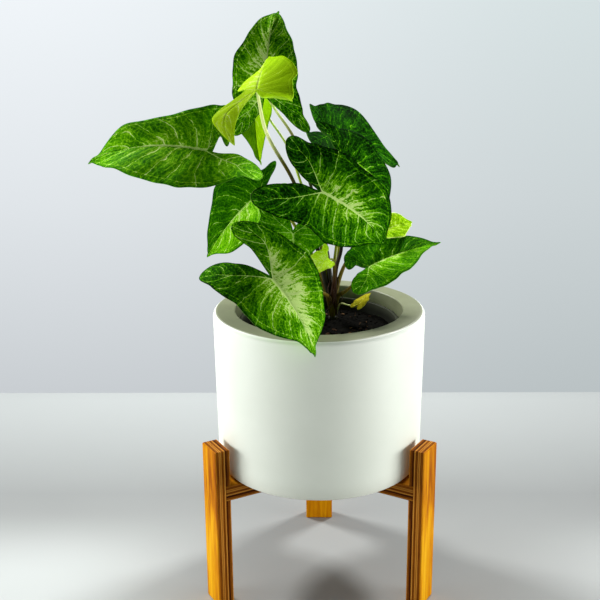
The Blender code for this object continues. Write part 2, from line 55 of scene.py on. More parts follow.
# The room's even light: its colour, its strength on the plant and its strength as seen
ROOM_COLOUR = (0.92, 0.96, 1.0, 1.0)
ROOM_LIGHT, ROOM_SEEN = 0.16, 0.80

# Soft lights: place, aim and size in metres, power in watts
SOFT_LIGHTS = {
    "left_box": ((-0.98, -0.17, 0.17), (0.0, 0.0, 0.17), (0.6, 0.26), 7.8),
    "right_box": ((0.98, -0.19, 0.17), (0.0, 0.0, 0.17), (0.6, 0.26), 8.2),
    "back_left_box": ((-0.39, 0.33, 0.66), (0.0, -0.03, 0.05), (0.12, 0.12), 4.7),
    "back_right_box": ((0.27, 0.33, 0.66), (0.0, -0.03, 0.05), (0.12, 0.12), 3.7),
}

# Outer pot; its side widens a little towards the shoulder, through points of radius and height
POT_RADIUS, POT_SIDE_RADIUS, POT_FOOT_RADIUS = 80.0, 78.5, 74.0
POT_BOTTOM, POT_TOP = 101.3, 224.0
POT_FOOT_ROUND, POT_SIDE_START, POT_SHOULDER = 3.5, 9.0, 3.8
POT_SIDE = [(79.2, 160.0), (79.8, 200.0)]
POT_WALL, POT_FLOOR, POT_INNER_TAPER = 4.5, 6.0, 2.5
LIP_INNER_RADIUS, LIP_EDGE, LIP_THICKNESS = 63.1, 1.2, 5.0
SKIRT_DEPTH, SKIRT_THICKNESS, SKIRT_ROUND = 24.0, 4.0, 1.0
POT_STEPS = 192
# Between the foot's rounding and the side: shares of the way up and of the way out
FOOT_CURVE = ((0.35, 0.45), (0.65, 0.72))
# Where a turned piece's profile bends by more than this many degrees, its edge is sharp
SHARP_FROM = 50.0

# Nursery pot
GROW_BOTTOM, GROW_TOP = 107.6, 215.0
GROW_BASE_RADIUS, GROW_WALL_RADIUS, GROW_RIM_RADIUS = 45.0, 59.5, 61.0
GROW_WALL, GROW_LIP = 1.4, 5.0
GROW_LIP_ROUND, GROW_RIM_ROUND, GROW_MOUTH_ROUND = 0.5, 0.9, 0.7
GROW_STEPS = 128

# Soil: its heap against the crown, how high lumps and crumbs rise, and how high all may reach
SOIL_RADIUS, SOIL_TOP, SOIL_MOUND = 56.6, 206.2, 1.8
SOIL_DEPTH, SOIL_GRID = 40.0, 90
SOIL_HEAP, SOIL_HEAP_SPREAD = 2.4, 180.0
SOIL_LUMP, SOIL_CRUMB = 1.1, 0.45
SOIL_CEILING, BITS_CEILING = 210.5, 210.9
# Bits on the soil: how many, smallest and largest radius, and how much longer they may be
CRUMBS = (420, 0.5, 1.5, 0.4)
CHIPS = (70, 0.6, 1.9, 1.6)

# Stand: where legs and arms lie, the plywood's thickness and its plies
LEG_AZIMUTHS = {"leg_left": 210.0, "leg_right": 330.0, "leg_back": 90.0}
LEG_MIDDLE_RADIUS, ARM_MIDDLE = 89.0, 95.0
PLYWOOD, PLIES = 12.0, 9

# Crown: its place, and heights and radii of its shape
CROWN = Vector((11.0, 18.0, 0.0))
CROWN_SHAPE = ((195.0, 4.8), (203.0, 4.8), (208.0, 4.6), (211.0, 3.8), (212.6, 2.2))
CROWN_SIDES = 24

# Stalks: the height they start at and the gap under the blade; then how much each swells in its
# sheath and slims from there on, in shares of its width and its length
STALK_START, STALK_GAP = 206.0, 0.05
STALK_SPANS, STALK_SIDES = 56, 18
SHEATH, SHEATH_AT, SHEATH_SPREAD = 0.22, 0.16, 0.10
SLIMMER, SLIM_FROM, SLIM_OVER = 0.25, 0.2, 0.3
ROOT_SPANS, ROOT_SIDES = 24, 8

# Blades: thickness, and squares of a half along and out from its rib
BLADE = 0.6
LEAF_SPANS, LEAF_ROWS = 96, 20
# Landmarks of a half's outline, as shares of the length from stalk to tip
SINUS_AT, WAIST_AT, BELLY_AT, FORE_AT, POINT_AT = -0.04, 0.04, 0.30, 0.64, 0.90
POINT_SHARE = 0.22
LOBE_MIDDLE = 0.5
# The lobe's tip: its place along the outline, and how far the outline about it is rounded out,
# or drawn in on a lobe that is this many times longer than the waist is wide
LOBE_AT, BLUNT, BLUNT_SPAN = -0.5, 0.10, 0.22
LONG_LOBE, LONG_BLUNT = 3.0, -0.07
# Fine ripple of the outline: height as a share of the length, and where it fades in and out
RIPPLE, RIPPLE_TURNS = 0.006, 22.0
RIPPLE_FROM, RIPPLE_RISE, RIPPLE_FADE = -0.45, 0.2, 0.3
# Slow waves of the margin up and down
WAVE_SHARE, WAVE_TURNS, WAVE_FADE = 0.014, 2.25, 0.25
# How far the ribs run into the lobes, how the side veins lean, the arc that a half curls on,
# and the least bend of an arc, in radians
RIB_SHARE, VEIN_LEAN, CURL_SPAN = 0.78, 1.3, 35.0
LEAST_BEND = 1e-5
# Side veins: distance apart, bend and how quickly the bend turns over, and the vein that
# gathers them near the margin
VEIN_SPACING, VEIN_BEND, VEIN_TURN = 0.135, 0.085, 20.0
GATHERING_VEIN = 0.885
# How far the skin stands up between the veins on a blade of this length, and the midrib's groove
PUCKER, PUCKER_LENGTH = 0.35, 80.0
GROOVE, GROOVE_WIDTH = 0.30, 0.10

# Half a blade. In millimetres: how far its lobe runs back, and how far out its outline lies at
# the lobe's tip, on the lobe's inner and outer side, and at three places from waist to tip. In
# degrees: its fold up from the midrib, its curl outwards, and its lobe's bend upwards
Half = namedtuple("Half", "lobe out inner flank waist belly fore fold curl upturn")
# A leaf: where it meets its stalk, the way it points, its length, its bends and its two halves
Leaf = namedtuple("Leaf", "at azimuth elevation roll length droop twist left right")

LEAVES = {
    "leaf_top": Leaf(
        at=(-39, 18, 383), azimuth=87, elevation=74, roll=-11, length=79, droop=54, twist=7,
        left=Half(34, 20, 4, 21, 24, 23, 14, 25, -13, 13),
        right=Half(30, 32, 13, 29, 24, 23, 13, 3, -18, 6)),
    "leaf_left": Leaf(
        at=(-81, 2, 343), azimuth=180, elevation=13, roll=-37, length=101, droop=52, twist=-6,
        left=Half(56, 40, 6, 27, 39, 36, 22, 9, -16, 62),
        right=Half(15, 11, 13, 43, 39, 27, 19, 19, -15, 13)),
    "leaf_young": Leaf(
        at=(-42, -34, 390), azimuth=84, elevation=28, roll=-5, length=54, droop=18, twist=-30,
        left=Half(42, 14, 11, 30, 10, 19, 11, -16, -3, -59),
        right=Half(29, 23, 6, 27, 25, 27, 15, 8, -16, 58)),
    "leaf_hanging": Leaf(
        at=(-47, 42, 377), azimuth=-111, elevation=-77, roll=15, length=52, droop=28, twist=4,
        left=Half(24, 14, 5, 20, 19, 19, 9, 17, -12, 12),
        right=Half(24, 14, 5, 20, 20, 19, 9, 11, -12, 12)),
    "leaf_back": Leaf(
        at=(9, 64, 346), azimuth=29, elevation=-14, roll=38, length=83, droop=27, twist=1,
        left=Half(20, 18, 5, 24, 29, 33, 15, 18, -11, 19),
        right=Half(39, 28, 5, 30, 31, 28, 21, 18, -11, 21)),
    "leaf_upper": Leaf(
        at=(18, 14, 337), azimuth=18, elevation=-26, roll=43, length=70, droop=51, twist=2,
        left=Half(27, 15, 7, 19, 24, 23, 18, 16, -9, 7),
        right=Half(30, 23, 7, 25, 26, 25, 15, 8, -15, 3)),
    "leaf_centre": Leaf(
        at=(2, -32, 319), azimuth=3, elevation=-26, roll=51, length=73, droop=54, twist=25,
        left=Half(38, 22, 5, 30, 32, 29, 22, 19, -9, 13),
        right=Half(45, 26, 4, 29, 27, 30, 23, -18, -15, 9)),
    "leaf_middle": Leaf(
        at=(-45, 30, 306), azimuth=-153, elevation=-33, roll=-36, length=66, droop=45, twist=-6,
        left=Half(20, 14, 6, 21, 23, 24, 22, 18, -8, 12),
        right=Half(28, 14, 4, 14, 25, 29, 14, 9, -12, -6)),
    "leaf_front": Leaf(
        at=(-31, -89, 272), azimuth=-28, elevation=-44, roll=35, length=67, droop=59, twist=-28,
        left=Half(46, 4, 2, 22, 29, 27, 18, 13, -6, -8),
        right=Half(44, 29, 10, 34, 32, 31, 13, 13, -22, -42)),
    "leaf_right": Leaf(
        at=(37, -8, 258), azimuth=27, elevation=18, roll=8, length=65, droop=17, twist=-1,
        left=Half(15, 8, 5, 20, 25, 27, 15, 21, -8, 8),
        right=Half(26, 20, 4, 27, 27, 24, 11, 3, -19, 4)),
    "leaf_folded": Leaf(
        at=(52, 22, 279), azimuth=44, elevation=12, roll=18, length=32, droop=24, twist=7,
        left=Half(14, 9, 3, 12, 13, 12, 9, 25, -10, 12),
        right=Half(14, 9, 3, 11, 16, 12, 7, 9, -15, 14)),
    "leaf_behind": Leaf(
        at=(-19, 2, 281), azimuth=-85, elevation=-63, roll=-3, length=64, droop=28, twist=0,
        left=Half(20, 21, 6, 24, 29, 11, 14, 13, -13, 14),
        right=Half(24, 20, 4, 25, 25, 20, 13, 14, -12, 13)),
    "leaf_lime": Leaf(
        at=(6, -16, 266), azimuth=181, elevation=-28, roll=-34, length=33, droop=28, twist=2,
        left=Half(5, 10, 5, 13, 12, 11, 7, 18, -11, 13),
        right=Half(5, 9, 5, 13, 10, 10, 7, 10, -13, 14)),
    "leaf_dry": Leaf(
        at=(31, 10, 224), azimuth=52, elevation=30, roll=-21, length=15, droop=20, twist=-2,
        left=Half(6, 4, 1, 6, 6, 5, 3, 16, -12, 13),
        right=Half(7, 4, 1, 6, 6, 6, 3, -11, -13, 13)),
}

# Radius of each stalk at the crown and at the blade, and the points it passes
Stalk = namedtuple("Stalk", "foot end way")
STALKS = {
    "leaf_top": Stalk(1.9, 1.2, [
        (10, 17, 225), (6, 17, 265), (-5, 18, 311), (-17, 20, 347), (-31, 21, 369)]),
    "leaf_hanging": Stalk(1.6, 1.0, [
        (9, 19, 224), (0, 22, 275), (-14, 29, 316), (-23, 36, 340), (-37, 45, 360)]),
    "leaf_young": Stalk(2.4, 1.5, [
        (9, 16, 227), (5, 16, 240), (-5, 19, 281), (-19, 0, 322), (-36, -22, 358)]),
    "leaf_centre": Stalk(2.0, 1.3, [
        (11, 16, 225), (13, 10, 251), (17, 5, 270), (14, -6, 294), (5, -24, 312)]),
    "leaf_upper": Stalk(1.7, 1.1, [
        (12, 18, 224), (12, 19, 250), (13, 19, 264), (18, 16, 304), (20, 15, 328)]),
    "leaf_back": Stalk(1.7, 1.1, [
        (11, 20, 224), (13, 24, 241), (16, 34, 269), (15, 54, 312), (11, 63, 336)]),
    "leaf_right": Stalk(1.8, 1.2, [
        (14, 17, 226), (20, 12, 233), (29, 5, 243), (35, -2, 252)]),
    "leaf_folded": Stalk(2.6, 1.0, [
        (12, 19, 224), (14, 19, 235), (20, 20, 252), (31, 25, 267), (44, 26, 276)]),
    "leaf_lime": Stalk(1.6, 0.9, [
        (10, 15, 225), (12, 9, 246), (12, 2, 257), (10, -9, 264)]),
    "leaf_front": Stalk(1.9, 1.3, [
        (8, 14, 226), (4, -4, 236), (-2, -32, 246), (-22, -68, 262)]),
    "leaf_middle": Stalk(1.8, 1.2, [
        (8, 18, 226), (-5, 22, 252), (-26, 37, 279), (-39, 38, 296)]),
    "leaf_behind": Stalk(1.7, 1.2, [
        (9, 16, 225), (4, 18, 240), (-6, 17, 262), (-14, 9, 276)]),
    "leaf_left": Stalk(2.0, 1.3, [
        (8, 18, 228), (-3, 26, 254), (-26, 52, 287), (-54, 52, 322), (-75, 20, 337)]),
    "leaf_dry": Stalk(0.9, 0.5, [
        (16, 19, 220), (22, 16, 221), (28, 12, 221)]),
}


def paint(red, green, blue):
    """A colour given as the eye reads it, 0 to 255."""
    shares = [c / 255.0 for c in (red, green, blue)]
    return tuple(c / 12.92 if c <= 0.04045 else ((c + 0.055) / 1.055) ** 2.4
                 for c in shares) + (1.0,)


class Wire:
    """A socket that can stand in sums."""

    def __init__(self, finish, socket):
        self.finish = finish
        self.socket = socket

    def sum(self, operation, *terms):
        """A sum of one kind, on wires and numbers."""
        return self.finish.node("ShaderNodeMath", {"operation": operation},
                                dict(enumerate(terms)))

    def also(self, out):
        """Another output of the same node."""
        return Wire(self.finish, self.socket.node.outputs[out])

    def __add__(self, other):
        return self.sum("ADD", self, other)

    def __sub__(self, other):
        return self.sum("SUBTRACT", self, other)

    def __rsub__(self, other):
        return self.sum("SUBTRACT", other, self)

    def __mul__(self, other):
        return self.sum("MULTIPLY", self, other)

    __radd__, __rmul__ = __add__, __mul__

    def __truediv__(self, other):
        return self.sum("DIVIDE", self, other)

    def __rtruediv__(self, other):
        return self.sum("DIVIDE", other, self)

    def __pow__(self, other):
        return self.sum("POWER", self, other)

    def __abs__(self):
        return self.sum("ABSOLUTE", self)

    def floor(self):
        """Next whole number below."""
        return self.sum("FLOOR", self)

    def held(self, low=0.0, high=1.0):
        """Kept between two limits."""
        return self.sum("MINIMUM", self.sum("MAXIMUM", self, low), high)

    def to_nearest(self):
        """Distance to the nearest whole number, 0 to 0.5."""
        return self.sum("PINGPONG", self, 0.5)


class Finish:
    """A material whose look is worked out by nodes."""

    def __init__(self, name, **constants):
        self.material = bpy.data.materials.new(name)
        self.material.use_nodes = True
        self.tree = self.material.node_tree
        self.shader = self.tree.nodes["Principled BSDF"]
        for socket, value in constants.items():
            self.shader.inputs[socket.replace("_", " ")].default_value = value

    def node(self, kind, settings=(), values=(), out=0):
        """Any node: its settings, then the values or wires of its inputs."""
        node = self.tree.nodes.new(kind)
        for key, value in dict(settings).items():
            if key == "stops":
                ramp = node.color_ramp
                while len(ramp.elements) < len(value):
                    ramp.elements.new(0.5)
                for element, (place, colour) in zip(ramp.elements, value):
                    element.position = place
                    element.color = colour
            else:
                setattr(node, key, value)
        for key, value in dict(values).items():
            if isinstance(value, Wire):
                self.tree.links.new(value.socket, node.inputs[key])
            else:
                node.inputs[key].default_value = value
        return Wire(self, node.outputs[out])

    def wear(self, socket, wire):
        """Feed one of the shader's sockets."""
        self.tree.links.new(wire.socket, self.shader.inputs[socket])

    def from_pot(self, turn=0.0):
        """Place in metres from the pot's axis, turned about it."""
        back = Matrix.Rotation(-turn, 3, "Z") @ POT_AXIS
        place = self.node("ShaderNodeTexCoord", out="Object")
        return self.node("ShaderNodeMapping", {}, {
            "Vector": place, "Rotation": (0.0, 0.0, -turn), "Location": -back})

    def facing(self, turn=0.0):
        """Way the surface faces, turned as the place is."""
        way = self.node("ShaderNodeTexCoord", out="Normal")
        return self.node("ShaderNodeMapping", {}, {"Vector": way, "Rotation": (0.0, 0.0, -turn)})

    def layer(self, name):
        """Place in one of the piece's own UV maps."""
        return self.node("ShaderNodeUVMap", {"uv_map": name})

    def split(self, vector):
        """The three numbers of a vector."""
        first = self.node("ShaderNodeSeparateXYZ", {}, {0: vector})
        return first, first.also(1), first.also(2)

    def join(self, x, y, z=0.0):
        """A vector of three numbers."""
        return self.node("ShaderNodeCombineXYZ", {}, {0: x, 1: y, 2: z})

    def rise(self, wire, low, high):
        """0 below low, 1 above high, smooth between."""
        return self.node("ShaderNodeMapRange", {"interpolation_type": "SMOOTHSTEP"},
                         {"Value": wire, "From Min": low, "From Max": high})

    def mix(self, share, first, second):
        """Two colours mixed; share 1 gives the second."""
        return self.node("ShaderNodeMix", {"data_type": "RGBA"},
                         {0: share, 6: first, 7: second}, 2)

    def ramp(self, wire, *stops):
        """Colours along a scale from 0 to 1."""
        return self.node("ShaderNodeValToRGB", {"stops": stops}, {0: wire})

    def cloud(self, vector, scale, detail=3.0, rough=0.5, skew=0.0):
        """Soft blotches, about 0.5."""
        return self.node("ShaderNodeTexNoise", {}, {
            "Vector": vector, "Scale": scale, "Detail": detail, "Roughness": rough,
            "Distortion": skew})

    def cells(self, vector, scale, feature="DISTANCE_TO_EDGE"):
        """Cells of irregular shape: distance to their edge or, with F1, to their middle."""
        return self.node("ShaderNodeTexVoronoi", {"feature": feature},
                         {"Vector": vector, "Scale": scale})

    def emboss(self, height, depth, strength=1.0):
        """Relief: height 0 to 1, depth in metres."""
        self.wear("Normal", self.node("ShaderNodeBump", {}, {
            "Height": height, "Distance": depth, "Strength": strength}))


# Finishes

def glaze_finish():
    """White satin glaze, painted shade at its foot, a grey-olive lip and painted shade inside."""
    f = Finish("white_satin_glaze", IOR=1.45)
    place = f.from_pot()
    x, y, z = f.split(place)
    radius = (x * x + y * y) ** 0.5
    soft = f.cloud(place, 26.0, 4.0)
    fine = f.cloud(place, 900.0, 2.0)
    white = f.mix(soft, paint(228, 234, 220), paint(238, 243, 231))
    # Painted shade: the glaze greys towards the foot
    foot = 1.0 - f.rise(z, (POT_BOTTOM - 1.0) * MM, (POT_BOTTOM + 16.0) * MM)
    white = f.mix(foot * 0.35, white, paint(196, 196, 182))
    # Grey-olive on the lip's top, and the same grey-olive as painted shade on all inside the lip's
    # middle
    lip = f.rise(z, (POT_TOP - 0.55) * MM, (POT_TOP - 0.35) * MM)
    inside = 1.0 - f.rise(radius, (POT_RADIUS - 9.0) * MM, (POT_RADIUS - 8.0) * MM)
    lip_and_inside_shade = (lip + inside).held()
    grey = f.mix(f.cloud(place, 60.0, 5.0, 0.6), paint(120, 126, 96), paint(142, 146, 116))
    colour = f.mix(lip_and_inside_shade, white, grey)
    f.wear("Base Color", colour)
    f.wear("Roughness", 0.48 - lip_and_inside_shade * 0.10 + soft * 0.05)
    f.emboss(soft * 0.8 + fine * 0.2, 0.00025, 0.25)
    return f.material


def grow_finish():
    """Black moulded plastic, dusty, and paler at the rim with painted light."""
    f = Finish("black_moulded_plastic", Specular_IOR_Level=0.10)
    place = f.from_pot()
    z = f.split(place)[2]
    dust = f.cloud(place, 90.0, 5.0, 0.65)
    # Painted light: the top of the rim turns paler grey, besides the dust
    rim = f.rise(z, (GROW_TOP - 6.0) * MM, (GROW_TOP - 0.5) * MM)
    f.wear("Base Color", f.mix((dust * 0.4 + rim * 0.6).held(), paint(10, 11, 8),
                               paint(70, 73, 60)))
    f.wear("Roughness", 0.42 + dust * 0.25)
    f.emboss(f.cloud(place, 1500.0, 2.0), 0.0002, 0.3)
    return f.material


def soil_finish():
    """Moist dark potting soil."""
    f = Finish("moist_potting_soil", Specular_IOR_Level=0.02)
    place = f.from_pot()
    lumps = f.cloud(place, 260.0, 6.0, 0.7)
    crumbs = f.cells(place, 420.0, "F1")
    dark = f.ramp(lumps, (0.35, paint(2, 2, 1)), (0.60, paint(10, 9, 6)),
                  (0.82, paint(36, 30, 22)))
    f.wear("Base Color", dark)
    f.wear("Roughness", 0.78 + lumps * 0.2)
    f.emboss(lumps * 0.6 + (1.0 - crumbs) * 0.4, 0.0012, 0.9)
    return f.material


def chip_finish():
    """Bits of bark and root in the soil, each its own brown."""
    f = Finish("bark_bits", Specular_IOR_Level=0.04)
    place = f.from_pot()
    each = f.cloud(place, 180.0, 1.0)
    grain = f.cloud(place, 1400.0, 4.0, 0.7)
    f.wear("Base Color", f.ramp(each * 0.8 + grain * 0.2, (0.30, paint(26, 19, 14)),
                                (0.50, paint(66, 45, 28)), (0.68, paint(120, 92, 62))))
    f.wear("Roughness", 0.7 + grain * 0.25)
    f.emboss(grain, 0.0005, 0.7)
    return f.material


def plywood_finish(name, turn=None):
    """Oiled plywood: nine plies with dark glue lines, an orange veneer on the broad faces.

    turn is a leg's place about the pot, in radians, and its plies lie one behind the other
    outwards. The arms have no turn, carry painted shade and have plies one above the other.
    """
    f = Finish(name, Specular_IOR_Level=0.03)
    place = f.from_pot(turn or 0.0)
    x, y, z = f.split(place)
    facing = f.split(f.facing(turn or 0.0))
    ply = PLYWOOD / PLIES * MM
    if turn is None:
        # The arms carry painted shade, as under the pot
        arm_shade = 0.30
        depth = (z - (ARM_MIDDLE - PLYWOOD / 2.0) * MM) / ply
        broad = f.rise(abs(facing[2]), 0.6, 0.8)
        along = f.join(x * 60.0, y * 60.0, z * 60.0)
        across = f.join(x * 30.0, y * 30.0, z * 2600.0)
    else:
        arm_shade = 0.0
        depth = (x - (LEG_MIDDLE_RADIUS - PLYWOOD / 2.0) * MM) / ply
        broad = f.rise(abs(facing[0]), 0.6, 0.8)
        along = f.join(x * 500.0, y * 340.0, z * 22.0)
        across = f.join(x * 2600.0, y * 30.0, z * 60.0)
    wander = f.cloud(place, 70.0, 2.0)
    layer = depth + (wander - 0.5) * 0.35
    shade = f.split(f.cells(f.join(layer.floor(), 0.5), 1.0, "F1").also("Color"))[0]
    glue = 1.0 - f.rise(layer.to_nearest(), 0.03, 0.17)
    streak = f.cloud(across, 1.0, 5.0, 0.7)
    # Voids in the edge plies: painted shade inside the holes, near black, with a dent in the bump
    void_shade = f.rise(f.cloud(across, 0.35, 2.0, 0.8, 0.6), 0.66, 0.72)
    edge = f.ramp(shade * 0.55 + streak * 0.5, (0.28, paint(48, 14, 2)),
                  (0.44, paint(116, 56, 8)), (0.60, paint(180, 104, 20)),
                  (0.80, paint(228, 156, 62)))
    edge = f.mix(glue * 0.85, edge, paint(52, 22, 8))
    edge = f.mix(void_shade * 0.8, edge, paint(24, 10, 4))
    fibre = f.cloud(along, 1.0, 6.0, 0.62, 0.3)
    flame = f.cloud(f.join(x * 14.0, y * 55.0, z * 11.0), 1.0, 3.0, 0.55, 0.7)
    veneer = f.ramp(fibre * 0.45 + flame * 0.55, (0.36, paint(150, 76, 2)),
                    (0.47, paint(200, 124, 3)), (0.57, paint(224, 158, 10)),
                    (0.70, paint(242, 186, 34)))
    pores = f.rise(f.cloud(along, 3.0, 3.0, 0.8), 0.66, 0.74)
    veneer = f.mix(pores * 0.30, veneer, paint(150, 76, 12))
    wood = f.mix(broad, edge, veneer)
    f.wear("Base Color", f.mix(arm_shade, wood, paint(28, 8, 2)))
    f.wear("Roughness", 0.46 + fibre * 0.18 + glue * (1.0 - broad) * 0.15)
    lines = (1.0 - glue) * (1.0 - broad) * 0.6 + fibre * 0.4 - pores * broad * 0.3
    f.emboss(lines - void_shade * (1.0 - broad) * 0.5, 0.0006, 0.5)
    return f.material


def stalk_finish():
    """Leaf stalks, in the colour that each point of the piece carries, painted shade included."""
    f = Finish("leaf_stalks", Specular_IOR_Level=0.12)
    tint = f.node("ShaderNodeAttribute", {"attribute_name": "tint"})
    u, v = f.split(f.layer("along"))[:2]
    streaks = f.cloud(f.join(u * 3.0, v * 26.0), 1.0, 4.0, 0.6)
    spots = f.rise(f.cloud(f.join(u * 60.0, v * 9.0), 1.0, 3.0, 0.7), 0.60, 0.72)
    colour = f.mix(streaks * 0.02, tint, paint(206, 214, 120))
    colour = f.mix(f.rise(streaks, 0.5, 0.8) * 0.15, colour, paint(60, 52, 18))
    f.wear("Base Color", f.mix(spots * 0.18, colour, paint(66, 44, 18)))
    f.wear("Roughness", 0.36 + streaks * 0.2)
    f.emboss(streaks, 0.0004, 0.5)
    return f.material


# Scales of colours, from deepest to palest
GREEN = ((0.00, paint(2, 20, 1)), (0.20, paint(12, 52, 2)), (0.40, paint(34, 96, 3)),
         (0.60, paint(72, 144, 4)), (0.78, paint(118, 188, 12)), (0.90, paint(156, 212, 50)),
         (1.00, paint(206, 238, 138)))
LIME = ((0.00, paint(34, 84, 1)), (0.30, paint(96, 148, 2)), (0.60, paint(150, 200, 4)),
        (0.85, paint(184, 228, 26)), (1.00, paint(222, 246, 130)))
STRAW = ((0.00, paint(70, 60, 4)), (0.40, paint(142, 132, 14)), (0.75, paint(190, 182, 44)),
         (1.00, paint(226, 218, 110)))

# How a blade is coloured: the tone of its two halves, from 0 deepest to 1 palest, with painted
# light on a lit half and painted shade on a shaded one; how much paler each is along the midrib;
# how much deeper the lobes are, as painted shade; how its veins and its mottling stand out; how
# much paler, or deeper below 0, its very edge is; and its scale of colours
Look = namedtuple("Look", "left right glow_left glow_right lobes veins mottle edge scale")
LOOKS = {
    "leaf_top": Look(0.47, 0.38, 0.48, 0.12, 0.08, 0.88, 0.82, -0.22, GREEN),
    "leaf_left": Look(0.51, 0.47, 0.12, 0.12, 0.00, 0.62, 0.70, -0.15, GREEN),
    "leaf_young": Look(0.78, 0.60, 0.10, 0.10, 0.00, 0.22, 0.25, -0.05, LIME),
    "leaf_hanging": Look(0.60, 0.10, 0.10, 0.05, 0.00, 0.22, 0.40, -0.10, LIME),
    "leaf_back": Look(0.15, 0.12, 0.10, 0.06, 0.00, 0.46, 0.75, -0.10, GREEN),
    "leaf_upper": Look(0.08, 0.09, 0.20, 0.06, 0.00, 0.66, 0.80, -0.10, GREEN),
    "leaf_centre": Look(0.20, 0.26, 0.70, 0.27, 0.14, 0.84, 0.80, -0.20, GREEN),
    "leaf_middle": Look(0.58, 0.32, 0.20, 0.10, 0.00, 0.52, 0.55, -0.18, GREEN),
    "leaf_front": Look(0.48, 0.43, 0.90, 0.28, 0.14, 0.72, 0.92, -0.30, GREEN),
    "leaf_right": Look(0.33, 0.46, 0.10, 0.24, 0.05, 0.56, 0.62, -0.15, GREEN),
    "leaf_folded": Look(0.34, 0.34, 0.10, 0.10, 0.00, 0.70, 1.60, 0.75, LIME),
    "leaf_behind": Look(0.48, 0.46, 0.10, 0.10, 0.00, 0.64, 0.85, -0.10, GREEN),
    "leaf_lime": Look(0.80, 0.76, 0.05, 0.05, 0.00, 0.20, 0.70, 0.05, LIME),
    "leaf_dry": Look(0.50, 0.40, 0.10, 0.10, 0.00, 0.50, 0.95, 0.00, STRAW),
}


def blade_finish(name, look, under):
    """Upper or under side of a blade, patterned along its own veins.

    s runs along a half's margin, -1 at the sinus, 0 at the waist and 1 at the tip; side runs
    across the blade, t from its rib, 0, to its margin, 1; count is whole on each side vein.
    """
    f = Finish(name + ("_underside" if under else "_upper_side"), Specular_IOR_Level=0.003)
    u, v = f.split(f.layer("blade"))[:2]
    flat = f.layer("flat")
    s = u * 2.0 - 1.0
    side = v * 2.0 - 1.0
    t = abs(side)
    left = f.rise(side, -0.03, 0.03)
    wander = f.cloud(flat, 2.2, 1.0)
    patch = f.cloud(flat, 9.0, 2.0)
    sway = (wander - 0.5) * 1.3 + (patch - 0.5) * 0.40
    turn = (s * (s - LOBE_AT) * VEIN_TURN).held(-1.0, 1.0)
    count = (s - turn * t * t * VEIN_BEND) / VEIN_SPACING + sway
    near = count.to_nearest()
    blotch = f.cloud(flat, 4.5, 4.0, 0.6)
    speck = f.cloud(flat, 48.0, 3.0, 0.7)
    streak = f.cloud(f.join(count * 6.0, side * 3.2), 1.0, 6.0, 0.76)
    vein = 1.0 - f.rise(near / (1.05 - t * 0.70), 0.010, 0.046)
    vein = vein * (f.rise(patch, 0.34, 0.62) * 0.65 + 0.35)
    halo = (1.0 - f.rise(near, 0.0, 0.42)) * (1.0 - f.rise(t, 0.7, 1.0))
    finer = 1.0 - f.rise((count * 3.0 + blotch * 1.6).to_nearest(), 0.05, 0.20)
    net = 1.0 - f.rise(f.cells(flat, 24.0), 0.02, 0.12)
    midrib = 1.0 - f.rise(t, 0.012, 0.050)
    # A thin line of painted shade in the midrib's groove
    groove = 1.0 - f.rise(t, 0.0, 0.010)
    border = abs(t - GATHERING_VEIN - (wander - 0.5) * 0.08)
    gathering = (1.0 - f.rise(border, 0.002, 0.018)) * f.rise(s, -0.95, -0.7)
    edge = f.rise(t, 0.95, 0.995)
    middle = (1.0 - f.rise(t, 0.05, 0.78)) * f.rise(s, -0.5, 0.15) * (1.0 - f.rise(s, 0.6, 1.0))
    # Painted light and shade: a lit half paler, a shaded half and the lobes deeper
    base = left * (look.left - look.right) + look.right - (1.0 - f.rise(s, -0.3, 0.2)) * look.lobes
    glow = (left * (look.glow_left - look.glow_right) + look.glow_right) * middle
    tone = base + glow * (blotch * 1.2 + streak * 3.4 - 1.6).held() + (blotch - 0.5) * look.mottle
    tone = tone + (streak - 0.5) * look.mottle * 1.15 + (speck - 0.5) * look.mottle * 0.8
    tone = tone + halo * look.veins * 0.16 + finer * look.veins * 0.16 + net * look.veins * 0.22
    lines = (vein + midrib + gathering * 0.45).held()
    tone = tone + lines * look.veins * 0.76 + edge * look.edge - groove * 0.25
    if under:
        tone = tone * 0.75 + 0.20
    colour = f.ramp(tone.held(), *look.scale)
    if under:
        colour = f.mix(0.20, colour, paint(150, 186, 96))
    f.wear("Base Color", colour)
    f.wear("Roughness", (0.62 if under else 0.50) + speck * 0.16 + lines * 0.08)
    height = lines * (0.8 if under else -0.8) + finer * -0.12 + net * -0.10 + streak * 0.5
    f.emboss(height + speck * 0.15, 0.0006, 0.6)
    return f.material


